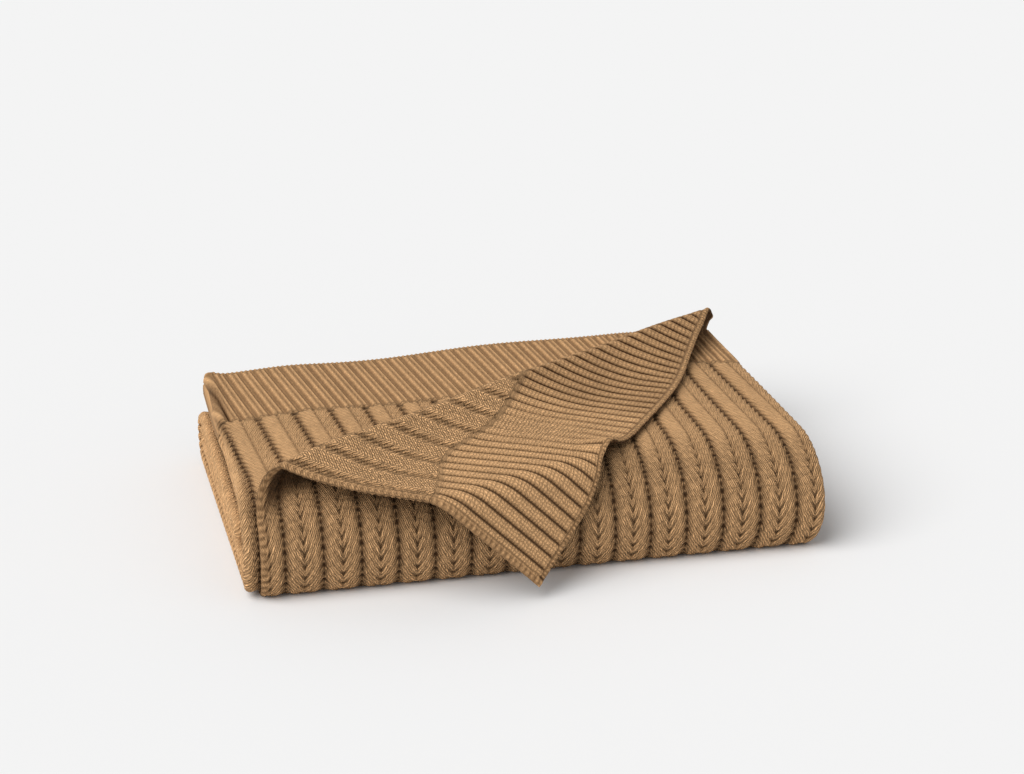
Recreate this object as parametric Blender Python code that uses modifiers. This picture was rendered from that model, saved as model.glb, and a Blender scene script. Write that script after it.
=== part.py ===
"""Folded knit throw: one rectangle of knitted cloth, folded in three across its width,
then folded six times along its length, with the top corner turned down over the front.

Metres, +Z up. X runs along the front edge, Y runs from front to back. The origin is on
the flat underside, near its middle.

The cloth is drawn flat in (u, v): u from selvedge to selvedge, v from hem to hem.
A section across the width gives x and the height n above the middle layer, and a path
from front to back carries that section, so every flat point has one folded place.
"""

import math

import bmesh
import bpy
from mathutils import Vector

# place of the finished part's origin in the coordinates used below
ORIGIN = (0.210, 0.130, 0.0)

# cloth
THICKNESS = 0.0030
LAYER_PITCH = 0.00465
STRIP_PITCH = 3 * LAYER_PITCH

# section across the width: outer layer, right fold, bottom layer, left fold, inner layer
SELVEDGE_X = -0.0077
RIGHT_FOLD_X = 0.4139
LEFT_FOLD_X = -0.0102
INNER_EDGE_X = 0.4020

# levels of the six strips, counted from the bottom
BOTTOM_LEVEL_Z = LAYER_PITCH + THICKNESS / 2
TURN_SAMPLES = 48
PASS_SAMPLES = 8
HEM_Y = 0.266
LAST_HEM_Y = 0.262

# turns of the strip from hem to hem: level before, level after, furthest y, reach of the
# first and second quarter in y, share of the rise in the first quarter, segments
TURN_COLUMNS = ("name", "from_level", "to_level", "tip_y", "reach_in", "reach_out", "share", "segments")
TURNS = (
    ("front outer", 6, 1, -0.0100, 0.0560, 0.0135, 0.65, 9),
    ("back outer", 1, 4, 0.2600, 0.0209, 0.0209, 0.50, 7),
    ("front tight", 4, 3, 0.0320, 0.0070, 0.0070, 0.50, 5),
    ("back inner", 3, 2, 0.2455, 0.0070, 0.0070, 0.50, 5),
    ("front inner", 2, 5, 0.0050, 0.0135, 0.0440, 0.37, 7),
)

# how far the ends of each pass stand out from the section, where it starts and stops
PASS_COLUMNS = ("name", "left_start", "left_stop", "right_start", "right_stop", "segments")
PASSES = (
    ("top", 0.0000, -0.0050, -0.0110, 0.0050, 7),
    ("underside", -0.0060, -0.0085, -0.0040, 0.0000, 2),
    ("fourth level", -0.0085, -0.0090, -0.0010, -0.0020, 2),
    ("third level", -0.0080, -0.0080, -0.0045, -0.0045, 2),
    ("second level", -0.0070, -0.0060, -0.0030, -0.0030, 2),
    ("under the top", -0.0040, -0.0010, -0.0050, -0.0090, 2),
)
FRONT_BULGE_LEFT = -0.0020
FRONT_BULGE_RIGHT = 0.0040
LEFT_SHIFT_WIDTH = 0.090
RIGHT_SHIFT_WIDTH = 0.120
SELVEDGE_SHARE = 0.35

# the stack is lower at its ends, and its top is gently uneven
LEFT_DROOP = 0.06
LEFT_DROOP_WIDTH = 0.075
RIGHT_DROOP = 0.07
RIGHT_DROOP_WIDTH = 0.090
WAVE_HEIGHT = 0.0008
WAVE_LENGTH = 0.170
STACK_TOP_Z = 0.082

# the hem on top lies a little forward near the left, and the crease's far end stands up
HEM_BOW = 0.0130
HEM_BOW_X = 0.090
HEM_BOW_WIDTH = 0.110
PEAK_LIFT = 0.0070
PEAK_X = 0.400
PEAK_WIDTH = 0.070

# corner turned over: the fold line starts at the left selvedge and runs to the back hem
CREASE_Y = -0.0005
CREASE_ANGLE = math.radians(30.6)
CREASE_LENGTH = 0.460
CREASE_RADIUS = (0.0113, 0.0105, 0.0087)
CREASE_END_SHARE = 0.35
FLAP_Z = 0.0872
SETTLE_LENGTH = 0.060

# the turned corner bends down over the front edge until its tip meets the floor
BEND_POINT = (0.1581, -0.0236)
BEND_ANGLE = math.radians(19.6)
BEND_RADIUS = 0.0165
BEND_TURN = math.radians(71.6)

# mesh lines across the width, shared by the three layers, divisions of the folds and the
# bend, and how near to a cut a mesh point is taken onto it
LAYER_LINES = (0.012, 0.035, 0.065, 0.120, 0.200, 0.280, 0.335, 0.370, 0.395)
RIGHT_FOLD_SEGMENTS = 5
LEFT_FOLD_SEGMENTS = 4
CREASE_CUTS = 6
BEND_CUTS = 4
BEND_CUT_REACH = 0.10
SETTLE_CUT = 0.030
SNAP = 0.0008

CLOTH_COLOUR = (0.390, 0.235, 0.115, 1.0)
CLOTH_ROUGHNESS = 0.90


def level_z(level):
    """Height of a strip's middle layer."""
    return BOTTOM_LEVEL_Z + (level - 1) * STRIP_PITCH


def smooth(value):
    """Smooth step from 0 to 1."""
    value = min(max(value, 0.0), 1.0)
    return value * value * (3.0 - 2.0 * value)


def mix(first, second, share):
    """Straight blend of two numbers."""
    return first + (second - first) * share


def turn_points(turn, heading, side):
    """Points and normals of the strip's middle layer round one turn, evenly in angle.

    heading is the way the strip runs before the turn, and side is 1 where the outer layer
    is above it there.
    """
    low = level_z(turn["from_level"])
    high = level_z(turn["to_level"])
    up = math.copysign(1.0, high - low)
    middle = mix(low, high, turn["share"])
    sign = 1.0 if up * side < 0 else -1.0
    points = []
    for index in range(1, TURN_SAMPLES + 1):
        angle = math.pi * index / TURN_SAMPLES
        first = angle <= math.pi / 2
        reach = turn["reach_in"] if first else turn["reach_out"]
        rise = abs(middle - low) if first else abs(high - middle)
        y = turn["tip_y"] - heading * reach * (1.0 - math.sin(angle))
        z = middle - up * rise * math.cos(angle)
        normal = Vector((heading * rise * math.sin(angle), -up * reach * math.cos(angle)))
        normal.normalize()
        points.append((y, z, normal.x * sign, normal.y * sign))
    return points


def strip_path():
    """The strip's middle layer from hem to hem.

    Returns rows of v, y, z, normal y, normal z, left shift and right shift, and the v
    values to mesh.
    """
    rows = [(0.0, HEM_Y, level_z(6), 0.0, 1.0, PASSES[0][1], PASSES[0][3])]
    stations = [0.0]

    def add(y, z, normal_y, normal_z, left, right):
        last = rows[-1]
        v = last[0] + math.hypot(y - last[1], z - last[2])
        rows.append((v, y, z, normal_y, normal_z, left, right))

    def mesh_lines(start, count):
        for index in range(1, count + 1):
            stations.append(mix(start, rows[-1][0], index / count))

    for number, row in enumerate(PASSES):
        run = dict(zip(PASS_COLUMNS, row))
        start, y, z, _, side = rows[-1][:5]
        turn = None
        stop_y = LAST_HEM_Y
        if number < len(TURNS):
            turn = dict(zip(TURN_COLUMNS, TURNS[number]))
            heading = math.copysign(1.0, turn["tip_y"] - y)
            stop_y = turn["tip_y"] - heading * turn["reach_in"]
        for index in range(1, PASS_SAMPLES + 1):
            share = index / PASS_SAMPLES
            left = mix(run["left_start"], run["left_stop"], share)
            right = mix(run["right_start"], run["right_stop"], share)
            add(mix(y, stop_y, share), z, 0.0, side, left, right)
        mesh_lines(start, run["segments"])
        if turn is None:
            break
        after = dict(zip(PASS_COLUMNS, PASSES[number + 1]))
        start = rows[-1][0]
        front = turn["name"] == "front outer"
        for index, point in enumerate(turn_points(turn, heading, side), 1):
            share = index / TURN_SAMPLES
            bulge = math.sin(math.pi * share) if front else 0.0
            left = mix(run["left_stop"], after["left_start"], share) + bulge * FRONT_BULGE_LEFT
            right = mix(run["right_stop"], after["right_start"], share) + bulge * FRONT_BULGE_RIGHT
            add(*point, left, right)
        mesh_lines(start, turn["segments"])
    return rows, stations


PATH, STATIONS = strip_path()
CLOTH_LENGTH = PATH[-1][0]


def on_path(v):
    """Centre y, z, outward normal and end shifts at a distance v from the first hem."""
    low = 0
    high = len(PATH) - 1
    while high - low > 1:
        middle = (low + high) // 2
        if PATH[middle][0] <= v:
            low = middle
        else:
            high = middle
    first = PATH[low]
    second = PATH[high]
    share = (v - first[0]) / (second[0] - first[0])
    share = min(max(share, 0.0), 1.0)
    return [mix(first[index], second[index], share) for index in range(1, 7)]


OUTER_WIDTH = RIGHT_FOLD_X - SELVEDGE_X
RIGHT_FOLD_WIDTH = math.pi * LAYER_PITCH
BOTTOM_WIDTH = RIGHT_FOLD_X - LEFT_FOLD_X
LEFT_FOLD_WIDTH = math.pi * LAYER_PITCH / 2
INNER_WIDTH = INNER_EDGE_X - LEFT_FOLD_X
WIDTHS = (OUTER_WIDTH, RIGHT_FOLD_WIDTH, BOTTOM_WIDTH, LEFT_FOLD_WIDTH, INNER_WIDTH)
CLOTH_WIDTH = sum(WIDTHS)


def across(u):
    """Place x and height n in the three-layer section at a distance u from the selvedge."""
    if u <= OUTER_WIDTH:
        return SELVEDGE_X + u, LAYER_PITCH
    u -= OUTER_WIDTH
    if u <= RIGHT_FOLD_WIDTH:
        angle = u / LAYER_PITCH
        return RIGHT_FOLD_X + LAYER_PITCH * math.sin(angle), LAYER_PITCH * math.cos(angle)
    u -= RIGHT_FOLD_WIDTH
    if u <= BOTTOM_WIDTH:
        return RIGHT_FOLD_X - u, -LAYER_PITCH
    u -= BOTTOM_WIDTH
    half = LAYER_PITCH / 2
    if u <= LEFT_FOLD_WIDTH:
        angle = u / half
        return LEFT_FOLD_X - half * math.sin(angle), -half - half * math.cos(angle)
    return LEFT_FOLD_X + u - LEFT_FOLD_WIDTH, 0.0


def layer_point(x, n, v):
    """Folded place of a section point carried to v along the path."""
    y, z, normal_y, normal_z, left_shift, right_shift = on_path(v)
    left = 1.0 - smooth((x - LEFT_FOLD_X) / LEFT_SHIFT_WIDTH)
    right = 1.0 - smooth((RIGHT_FOLD_X - x) / RIGHT_SHIFT_WIDTH)
    share = mix(1.0, SELVEDGE_SHARE, smooth(n / LAYER_PITCH))
    shifted = x + left * share * left_shift + right * right_shift
    if v < HEM_Y:
        near = math.exp(-((x - HEM_BOW_X) / HEM_BOW_WIDTH) ** 2)
        y -= HEM_BOW * near * (1.0 - v / HEM_Y) ** 2
    return Vector((shifted, y + n * normal_y, z + n * normal_z))


CREASE_ALONG = Vector((math.cos(CREASE_ANGLE), math.sin(CREASE_ANGLE)))
CREASE_ACROSS = Vector((-math.sin(CREASE_ANGLE), math.cos(CREASE_ANGLE)))
CREASE_START = Vector((SELVEDGE_X, CREASE_Y))
BEND_ALONG = Vector((math.cos(BEND_ANGLE), math.sin(BEND_ANGLE)))
BEND_FORWARD = Vector((math.sin(BEND_ANGLE), -math.cos(BEND_ANGLE)))


def crease_radius(along):
    """Radius of the turned-over fold, wider at the selvedge."""
    left, middle, right = CREASE_RADIUS
    share = min(max(along / CREASE_LENGTH, 0.0), 1.0)
    near = max(1.0 - share / CREASE_END_SHARE, 0.0)
    far = max((share - 1.0 + CREASE_END_SHARE) / CREASE_END_SHARE, 0.0)
    return middle + (left - middle) * near ** 2 + (right - middle) * far ** 2


def corner_point(x, v):
    """Place of an outer-layer point on the top, with the corner turned over the crease."""
    flat = Vector((x, HEM_Y - v)) - CREASE_START
    along = flat.dot(CREASE_ALONG)
    beyond = flat.dot(CREASE_ACROSS)
    if beyond <= 0.0:
        return layer_point(x, LAYER_PITCH, v)
    radius = crease_radius(along)
    turn = min(beyond / radius, math.pi)
    back = radius * math.sin(turn) - max(beyond - math.pi * radius, 0.0)
    lifted = (1.0 - math.cos(turn)) / 2
    plan = CREASE_START + CREASE_ALONG * along + CREASE_ACROSS * back
    below = layer_point(plan.x, LAYER_PITCH, HEM_Y - plan.y)
    settled = min(max(-back / SETTLE_LENGTH, 0.0), 1.0)
    loop_top = level_z(6) + LAYER_PITCH + 2 * radius
    height = FLAP_Z + (loop_top - FLAP_Z) * (1.0 - settled) ** 2
    peak = math.hypot(plan.x - PEAK_X, plan.y - HEM_Y) / PEAK_WIDTH
    height += PEAK_LIFT * math.exp(-peak ** 2)
    forward = max((plan - Vector(BEND_POINT)).dot(BEND_FORWARD), 0.0)
    bend = min(forward / BEND_RADIUS, BEND_TURN)
    rest = max(forward - BEND_RADIUS * BEND_TURN, 0.0)
    reach = BEND_RADIUS * math.sin(bend) + rest * math.cos(bend)
    drop = BEND_RADIUS * (1.0 - math.cos(bend)) + rest * math.sin(bend)
    plan = plan + BEND_FORWARD * (reach - forward)
    over = Vector((plan.x, plan.y, height - drop))
    return below.lerp(over, lifted)


def settle(point):
    """Lower ends and uneven top of the whole stack; the underside stays flat at the floor."""
    left = LEFT_DROOP * (1.0 - smooth((point.x - LEFT_FOLD_X) / LEFT_DROOP_WIDTH))
    right = RIGHT_DROOP * (1.0 - smooth((RIGHT_FOLD_X - point.x) / RIGHT_DROOP_WIDTH))
    wave = WAVE_HEIGHT * math.sin(2 * math.pi * point.x / WAVE_LENGTH)
    loaded = min(point.z, STACK_TOP_Z) - THICKNESS / 2
    height = point.z - (left + right) * loaded + wave * loaded / STACK_TOP_Z
    return Vector((point.x, point.y, max(height, THICKNESS / 2))) - Vector(ORIGIN)


def folded(u, v):
    """Folded place of a flat cloth point."""
    x, n = across(u)
    if u <= OUTER_WIDTH and v < HEM_Y - CREASE_Y:
        point = corner_point(x, v)
    else:
        point = layer_point(x, n, v)
    return settle(point)


def section_stations():
    """The u values to mesh: the shared lines on each layer, and the two folds."""
    stations = [0.0]

    def fold(count, width):
        start = stations[-1]
        for index in range(1, count + 1):
            stations.append(start + width * index / count)

    for line in LAYER_LINES:
        stations.append(line - SELVEDGE_X)
    stations.append(OUTER_WIDTH)
    fold(RIGHT_FOLD_SEGMENTS, RIGHT_FOLD_WIDTH)
    start = stations[-1]
    for line in reversed(LAYER_LINES):
        stations.append(start + RIGHT_FOLD_X - line)
    stations.append(start + BOTTOM_WIDTH)
    fold(LEFT_FOLD_SEGMENTS, LEFT_FOLD_WIDTH)
    start = stations[-1]
    for line in LAYER_LINES:
        stations.append(start + line - LEFT_FOLD_X)
    stations.append(CLOTH_WIDTH)
    return stations


def flat_of_plan(plan):
    """Flat (u, v) of a place on the turned corner seen in plan."""
    offset = plan - CREASE_START
    along = offset.dot(CREASE_ALONG)
    beyond = math.pi * crease_radius(along) - offset.dot(CREASE_ACROSS)
    flat = CREASE_START + CREASE_ALONG * along + CREASE_ACROSS * beyond
    return Vector((flat.x - SELVEDGE_X, HEM_Y - flat.y, 0.0))


def cut(mesh, first, second, keep):
    """Cut the flat cloth along the line through two points, in the faces that keep allows."""
    faces = [face for face in mesh.faces if keep(face.calc_center_median())]
    edges = {edge for face in faces for edge in face.edges}
    verts = {vert for face in faces for vert in face.verts}
    direction = (second - first).normalized()
    normal = Vector((-direction.y, direction.x, 0.0))
    geometry = faces + list(edges) + list(verts)
    bmesh.ops.bisect_plane(mesh, geom=geometry, dist=SNAP, plane_co=first, plane_no=normal)


def beyond_crease(centre):
    """Distances of a flat point behind the crease line and along it."""
    flat = Vector((centre.x + SELVEDGE_X, HEM_Y - centre.y)) - CREASE_START
    return flat.dot(CREASE_ACROSS), flat.dot(CREASE_ALONG)


def on_corner_layer(centre):
    """True in the outer layer's top, where the crease runs."""
    return centre.x < OUTER_WIDTH and centre.y < HEM_Y - CREASE_Y


def on_flap(centre):
    """True in the turned-over corner, past the round of the crease."""
    beyond, along = beyond_crease(centre)
    return on_corner_layer(centre) and beyond > math.pi * crease_radius(along)


def cut_creases(mesh):
    """Lines along the round crease, on the flap behind it and along the bend."""
    ends = (0.0, CREASE_LENGTH)
    for index in range(CREASE_CUTS + 1):
        points = []
        for along in ends:
            beyond = math.pi * crease_radius(along) * index / CREASE_CUTS
            flat = CREASE_START + CREASE_ALONG * along + CREASE_ACROSS * beyond
            points.append(Vector((flat.x - SELVEDGE_X, HEM_Y - flat.y, 0.0)))
        cut(mesh, points[0], points[1], on_corner_layer)
    settle_line = []
    for along in ends:
        plan = CREASE_START + CREASE_ALONG * along - CREASE_ACROSS * SETTLE_CUT
        settle_line.append(flat_of_plan(plan))
    cut(mesh, settle_line[0], settle_line[1], on_flap)
    for index in range(BEND_CUTS + 1):
        forward = BEND_RADIUS * BEND_TURN * index / BEND_CUTS
        centre = Vector(BEND_POINT) + BEND_FORWARD * forward
        first = flat_of_plan(centre - BEND_ALONG * BEND_CUT_REACH)
        second = flat_of_plan(centre + BEND_ALONG * BEND_CUT_REACH)
        cut(mesh, first, second, on_flap)


def cloth_mesh():
    """Flat rectangle with its fold lines, moved to its folded shape."""
    columns = section_stations()
    rows = STATIONS
    mesh = bmesh.new()
    bmesh.ops.create_grid(mesh, x_segments=len(columns) - 1, y_segments=len(rows) - 1, size=1.0)
    for vert in mesh.verts:
        column = round((vert.co.x + 1.0) / 2.0 * (len(columns) - 1))
        row = round((vert.co.y + 1.0) / 2.0 * (len(rows) - 1))
        vert.co = Vector((columns[column], rows[row], 0.0))
    cut_creases(mesh)
    bmesh.ops.triangulate(mesh, faces=mesh.faces[:])
    for vert in mesh.verts:
        vert.co = folded(vert.co.x, vert.co.y)
    bmesh.ops.recalc_face_normals(mesh, faces=mesh.faces[:])
    data = bpy.data.meshes.new("throw")
    mesh.to_mesh(data)
    mesh.free()
    return data


def cloth_material():
    """Tan yarn."""
    material = bpy.data.materials.new("tan_yarn")
    material.use_nodes = True
    shader = material.node_tree.nodes["Principled BSDF"]
    shader.inputs["Base Color"].default_value = CLOTH_COLOUR
    shader.inputs["Roughness"].default_value = CLOTH_ROUGHNESS
    shader.inputs["Metallic"].default_value = 0.0
    return material


def throw(collection):
    """The one-piece throw: an open folded surface given its thickness."""
    item = bpy.data.objects.new("throw", cloth_mesh())
    item.data.materials.append(cloth_material())
    item.data.shade_smooth()
    collection.objects.link(item)
    shell = item.modifiers.new("thickness", "SOLIDIFY")
    shell.thickness = THICKNESS
    shell.offset = 0.0
    shell.use_even_offset = True
    shell.use_rim = True
    return item


def main():
    """Clear the scene and build the throw."""
    for item in list(bpy.data.objects):
        bpy.data.objects.remove(item)
    collection = bpy.data.collections.new("knit_throw")
    bpy.context.scene.collection.children.link(collection)
    throw(collection)


main()
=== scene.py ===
"""Looks of the folded knit throw: the knit's relief and yarn, on a pale floor in soft light.

Metres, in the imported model's frame. The cloth is drawn flat in (u, v), u from selvedge to
selvedge and v from hem to hem, and every flat point has one folded place, by the same
section and path as the solid. The knit stands proud of that surface by a height that
depends on (u, v), so the relief, the yarn's bump and its colour all follow the cloth.
"""

import math

import bmesh
import bpy
import numpy as np
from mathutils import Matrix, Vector


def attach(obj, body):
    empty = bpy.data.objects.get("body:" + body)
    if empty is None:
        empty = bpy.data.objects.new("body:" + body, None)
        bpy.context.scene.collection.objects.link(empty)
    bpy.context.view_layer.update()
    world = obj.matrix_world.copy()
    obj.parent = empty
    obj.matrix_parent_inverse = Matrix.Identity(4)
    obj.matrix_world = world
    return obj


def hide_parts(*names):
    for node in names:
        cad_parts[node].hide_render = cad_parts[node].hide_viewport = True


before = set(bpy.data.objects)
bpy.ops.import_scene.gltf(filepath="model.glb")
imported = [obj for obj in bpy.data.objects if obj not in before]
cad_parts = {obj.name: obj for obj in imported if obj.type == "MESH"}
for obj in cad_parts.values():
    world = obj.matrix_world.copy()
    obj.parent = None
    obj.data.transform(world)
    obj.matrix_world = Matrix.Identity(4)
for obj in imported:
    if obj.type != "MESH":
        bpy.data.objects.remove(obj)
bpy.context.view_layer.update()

# camera and picture
TARGET = Vector((0.00111, 0.0, 0.09493))
DISTANCE = 2.35654
AZIMUTH = math.radians(-12.5)
ELEVATION = math.radians(23.0)
FOCAL_PIXELS = 3000.0
PICTURE_WIDTH = 1024
SENSOR = 36.0

# place of the frame's origin in the coordinates used for the folds
ORIGIN = (0.210, 0.130, 0.0)

# layers and section across the width
THICKNESS = 0.0030
LAYER_PITCH = 0.00465
STRIP_PITCH = 3 * LAYER_PITCH
SELVEDGE_X = -0.0077
RIGHT_FOLD_X = 0.4139
LEFT_FOLD_X = -0.0102
INNER_EDGE_X = 0.4020

# path of the strip from hem to hem
BOTTOM_LEVEL_Z = LAYER_PITCH + THICKNESS / 2
TURN_SAMPLES = 48
PASS_SAMPLES = 8
HEM_Y = 0.266
LAST_HEM_Y = 0.262
TURN_COLUMNS = ("name", "from_level", "to_level", "tip_y", "reach_in", "reach_out", "share")
TURNS = (
    ("front outer", 6, 1, -0.0100, 0.0560, 0.0135, 0.65),
    ("back outer", 1, 4, 0.2600, 0.0209, 0.0209, 0.50),
    ("front tight", 4, 3, 0.0320, 0.0070, 0.0070, 0.50),
    ("back inner", 3, 2, 0.2455, 0.0070, 0.0070, 0.50),
    ("front inner", 2, 5, 0.0050, 0.0135, 0.0440, 0.37),
)
PASS_COLUMNS = ("name", "left_start", "left_stop", "right_start", "right_stop")
PASSES = (
    ("top", 0.0000, -0.0050, -0.0110, 0.0050),
    ("underside", -0.0060, -0.0085, -0.0040, 0.0000),
    ("fourth level", -0.0085, -0.0090, -0.0010, -0.0020),
    ("third level", -0.0080, -0.0080, -0.0045, -0.0045),
    ("second level", -0.0070, -0.0060, -0.0030, -0.0030),
    ("under the top", -0.0040, -0.0010, -0.0050, -0.0090),
)
FRONT_BULGE_LEFT = -0.0020
FRONT_BULGE_RIGHT = 0.0040
LEFT_SHIFT_WIDTH = 0.090
RIGHT_SHIFT_WIDTH = 0.120
SELVEDGE_SHARE = 0.35
LEFT_DROOP = 0.06
LEFT_DROOP_WIDTH = 0.075
RIGHT_DROOP = 0.07
RIGHT_DROOP_WIDTH = 0.090
WAVE_HEIGHT = 0.0008
WAVE_LENGTH = 0.170
STACK_TOP_Z = 0.082
HEM_BOW = 0.0130
HEM_BOW_X = 0.090
HEM_BOW_WIDTH = 0.110
PEAK_LIFT = 0.0070
PEAK_X = 0.400
PEAK_WIDTH = 0.070

# turned corner and its bend over the front
CREASE_Y = -0.0005
CREASE_ANGLE = math.radians(30.6)
CREASE_LENGTH = 0.460
CREASE_RADIUS = (0.0113, 0.0105, 0.0087)
CREASE_END_SHARE = 0.35
FLAP_Z = 0.0872
SETTLE_LENGTH = 0.060
BEND_POINT = np.array((0.1581, -0.0236))
BEND_ANGLE = math.radians(19.6)
BEND_RADIUS = 0.0165
BEND_TURN = math.radians(71.6)
HEM_WAVE = 0.0065
HEM_WAVE_U = 0.128
HEM_WAVE_WIDTH = 0.0095
HEM_WAVE_LENGTH = 0.035
HEM_OUT = 0.0115
HEM_OUT_U = 0.115
HEM_OUT_WIDTH = 0.028
HEM_IN = 0.0105
HEM_IN_U = 0.255
HEM_IN_WIDTH = 0.075
HEM_PULL_LENGTH = 0.120
HEM_PULL_FADE = 0.050

# knit: raised columns with gaps between them, and a ribbed border at each hem
COLUMN_COUNT = 45
FIRST_GAP = 0.0180
RIBS_PER_COLUMN = 2.5
OUTER_SKEW = 0.008
OUTER_SKEW_U = 0.15
OUTER_SKEW_FADE = 0.15
INNER_SKEW = 0.018
INNER_SKEW_U = 0.45
INNER_SKEW_FADE = 0.30
SKEW_LENGTH = 0.210
RIB_SKEW = 0.0065

# width of the border: stretched over the bend, narrower on the right of the outer layer
BORDER = 0.103
BORDER_STRETCH = 0.021
BORDER_STRETCH_U = 0.075
BORDER_STRETCH_WIDTH = 0.050
BORDER_EDGE = 0.004
BORDER_EDGE_WIDTH = 0.03
BORDER_NARROW = 0.020
BORDER_NARROW_U = 0.24
BORDER_NARROW_FADE = 0.06
BORDER_SCALLOP = 0.0006
BORDER_FADE = 0.005

# leaves of the columns' face, which lean more on the top than low on the front
UNIT = 0.0085
STRANDS_PER_UNIT = 3.1
LEAN_HIGH = 0.0290
LEAN_LOW = 0.0130
LEAN_V = 0.258
LEAN_FADE = 0.075
FRONT_V = 0.215
FRONT_FADE = 0.05
SPINE_WIDTH = 0.0009
SPINE_DEPTH = 0.0006
MARK_WIDTH = 0.0036
MARK_DEPTH = 0.0014
BEAD_WIDTH = 0.0014
BEAD_HEIGHT = 0.0014
FACE_COLUMNS = ("name", "on_top", "on_front")
FACE_SIZES = (
    ("edge lean", 0.20, 0.06),
    ("pillow power", 6.0, 4.4),
    ("pillow height", 0.0024, 0.0021),
    ("leaf height", 0.0006, 0.0005),
    ("bead share", 0.4, 1.0),
    # painted shade: how dark the colour is painted in the gaps, on the spines and between the
    # leaves
    ("gap shade", 1.00, 1.45),
    ("spine shade", 0.60, 0.24),
    ("lobe shade", 0.04, 0.08),
)

# ribs, and loops of the columns' reverse
RIB_HEIGHT = 0.0020
RIB_GROOVE_WIDTH = 0.0011
RIB_GROOVE_DEPTH = 0.0011
RIB_BACK_GROOVE_WIDTH = 0.0014
RIB_BACK_GROOVE_DEPTH = 0.0013
FAN_U = 0.143
FAN_V = 0.075
FAN_WIDTH = 0.024
FAN_LENGTH = 0.055
UPPER_RIBS_U = 0.165
UPPER_RIBS_FADE = 0.06
LOOP = 0.0044
LOOP_LEAN = 0.0105
LADDER_WIDTH = 0.0010
LADDER_DEPTH = 0.0014
LADDER_BEYOND = 0.040
LADDER_BEYOND_WIDTH = 0.030

# cloth's edges: beads along the selvedge, stitches along the hem, and a flat band
CHAIN_PLACE = 0.0028
CHAIN_WIDTH = 0.0022
CHAIN_PITCH = 0.0052
CHAIN_HEIGHT = 0.0015
CAST_PLACE = 0.0016
CAST_WIDTH = 0.0016
CAST_PITCH = 0.0037
CAST_HEIGHT = 0.0010
BAND_WIDTH = 0.0040
BAND_FADE = 0.0020
BAND_HEIGHT = 0.0011
# painted shade: a dark line along the selvedge, inside its beads, with no relief of its own
TRENCH_SHADE_PLACE = 0.0064
TRENCH_SHADE_WIDTH = 0.0009

# left folds: puffed and slit towards the hems, with a row of holes along the rest, drawn as
# painted shade only
PUFF = 0.0030
PUFF_WIDTH = 0.0085
PUFF_LENGTH = 0.07
SLIT_V = 0.028
SLIT_LENGTH = 0.078
SLIT_WIDTH = 0.0013
SLIT_DEPTH = 0.0035
SLIT_REACH = 0.0055
HOLE_PLACE = 0.0030
HOLE_WIDTH = 0.0011
HOLE_PITCH = 0.0042

# mesh lines: so many to a column, this far apart along it, and closer at the cloth's edges
LINES_PER_COLUMN = 30
ROW_STEP = 0.00125
EDGE_LINES = (0.0, 0.0003, 0.0008, 0.0015, 0.0024, 0.0034)
EDGE_ROUND = 0.0017
FLOOR_GAP = 0.0003
INSIDE_THICKNESS = 0.0026

# colours and light
YARN_COLOUR = (0.590, 0.345, 0.165, 1.0)
# painted shade: dark brown that the yarn's colour is mixed towards in the knit's gaps, grooves,
# slits and folds
PAINTED_SHADE_COLOUR = (0.050, 0.021, 0.007, 1.0)
FLOOR_COLOUR = (0.84, 0.84, 0.84, 1.0)
FLOOR_SIZE = 30.0
ROOM_STRENGTH = 0.42
KEY_STRENGTH = 2.72
KEY_SOFTNESS = math.radians(55.0)
KEY_FROM = (-0.60, -0.26, 0.76)


def level_z(level):
    """Height of a strip's middle layer."""
    return BOTTOM_LEVEL_Z + (level - 1) * STRIP_PITCH


def smooth(value):
    """Smooth step from 0 to 1."""
    value = np.clip(value, 0.0, 1.0)
    return value * value * (3.0 - 2.0 * value)


def mix(first, second, share):
    """Straight blend of two values."""
    return first + (second - first) * share


def bell(distance, width):
    """1 at no distance, falling softly to 0."""
    return np.exp(-(distance / width) ** 2)


def strip_path():
    """Rows of v, y, z, normal y, normal z, left shift and right shift along the strip, and
    the v at which each pass and each turn ends."""
    rows = [(0.0, HEM_Y, level_z(6), 0.0, 1.0, PASSES[0][1], PASSES[0][3])]
    ends = []

    def add(y, z, normal_y, normal_z, left, right):
        last = rows[-1]
        v = last[0] + math.hypot(y - last[1], z - last[2])
        rows.append((v, y, z, normal_y, normal_z, left, right))

    for number, row in enumerate(PASSES):
        run = dict(zip(PASS_COLUMNS, row))
        y, z, side = rows[-1][1], rows[-1][2], rows[-1][4]
        turn = None
        stop_y = LAST_HEM_Y
        if number < len(TURNS):
            turn = dict(zip(TURN_COLUMNS, TURNS[number]))
            heading = math.copysign(1.0, turn["tip_y"] - y)
            stop_y = turn["tip_y"] - heading * turn["reach_in"]
        for index in range(1, PASS_SAMPLES + 1):
            share = index / PASS_SAMPLES
            left = mix(run["left_start"], run["left_stop"], share)
            right = mix(run["right_start"], run["right_stop"], share)
            add(mix(y, stop_y, share), z, 0.0, side, left, right)
        ends.append(rows[-1][0])
        if turn is None:
            break
        after = dict(zip(PASS_COLUMNS, PASSES[number + 1]))
        front = turn["name"] == "front outer"
        for index, point in enumerate(turn_points(turn, heading, side), 1):
            share = index / TURN_SAMPLES
            bulge = math.sin(math.pi * share) if front else 0.0
            left = mix(run["left_stop"], after["left_start"], share) + bulge * FRONT_BULGE_LEFT
            right = mix(run["right_stop"], after["right_start"], share)
            add(*point, left, right + bulge * FRONT_BULGE_RIGHT)
        ends.append(rows[-1][0])
    return np.array(rows).T, ends


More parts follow.
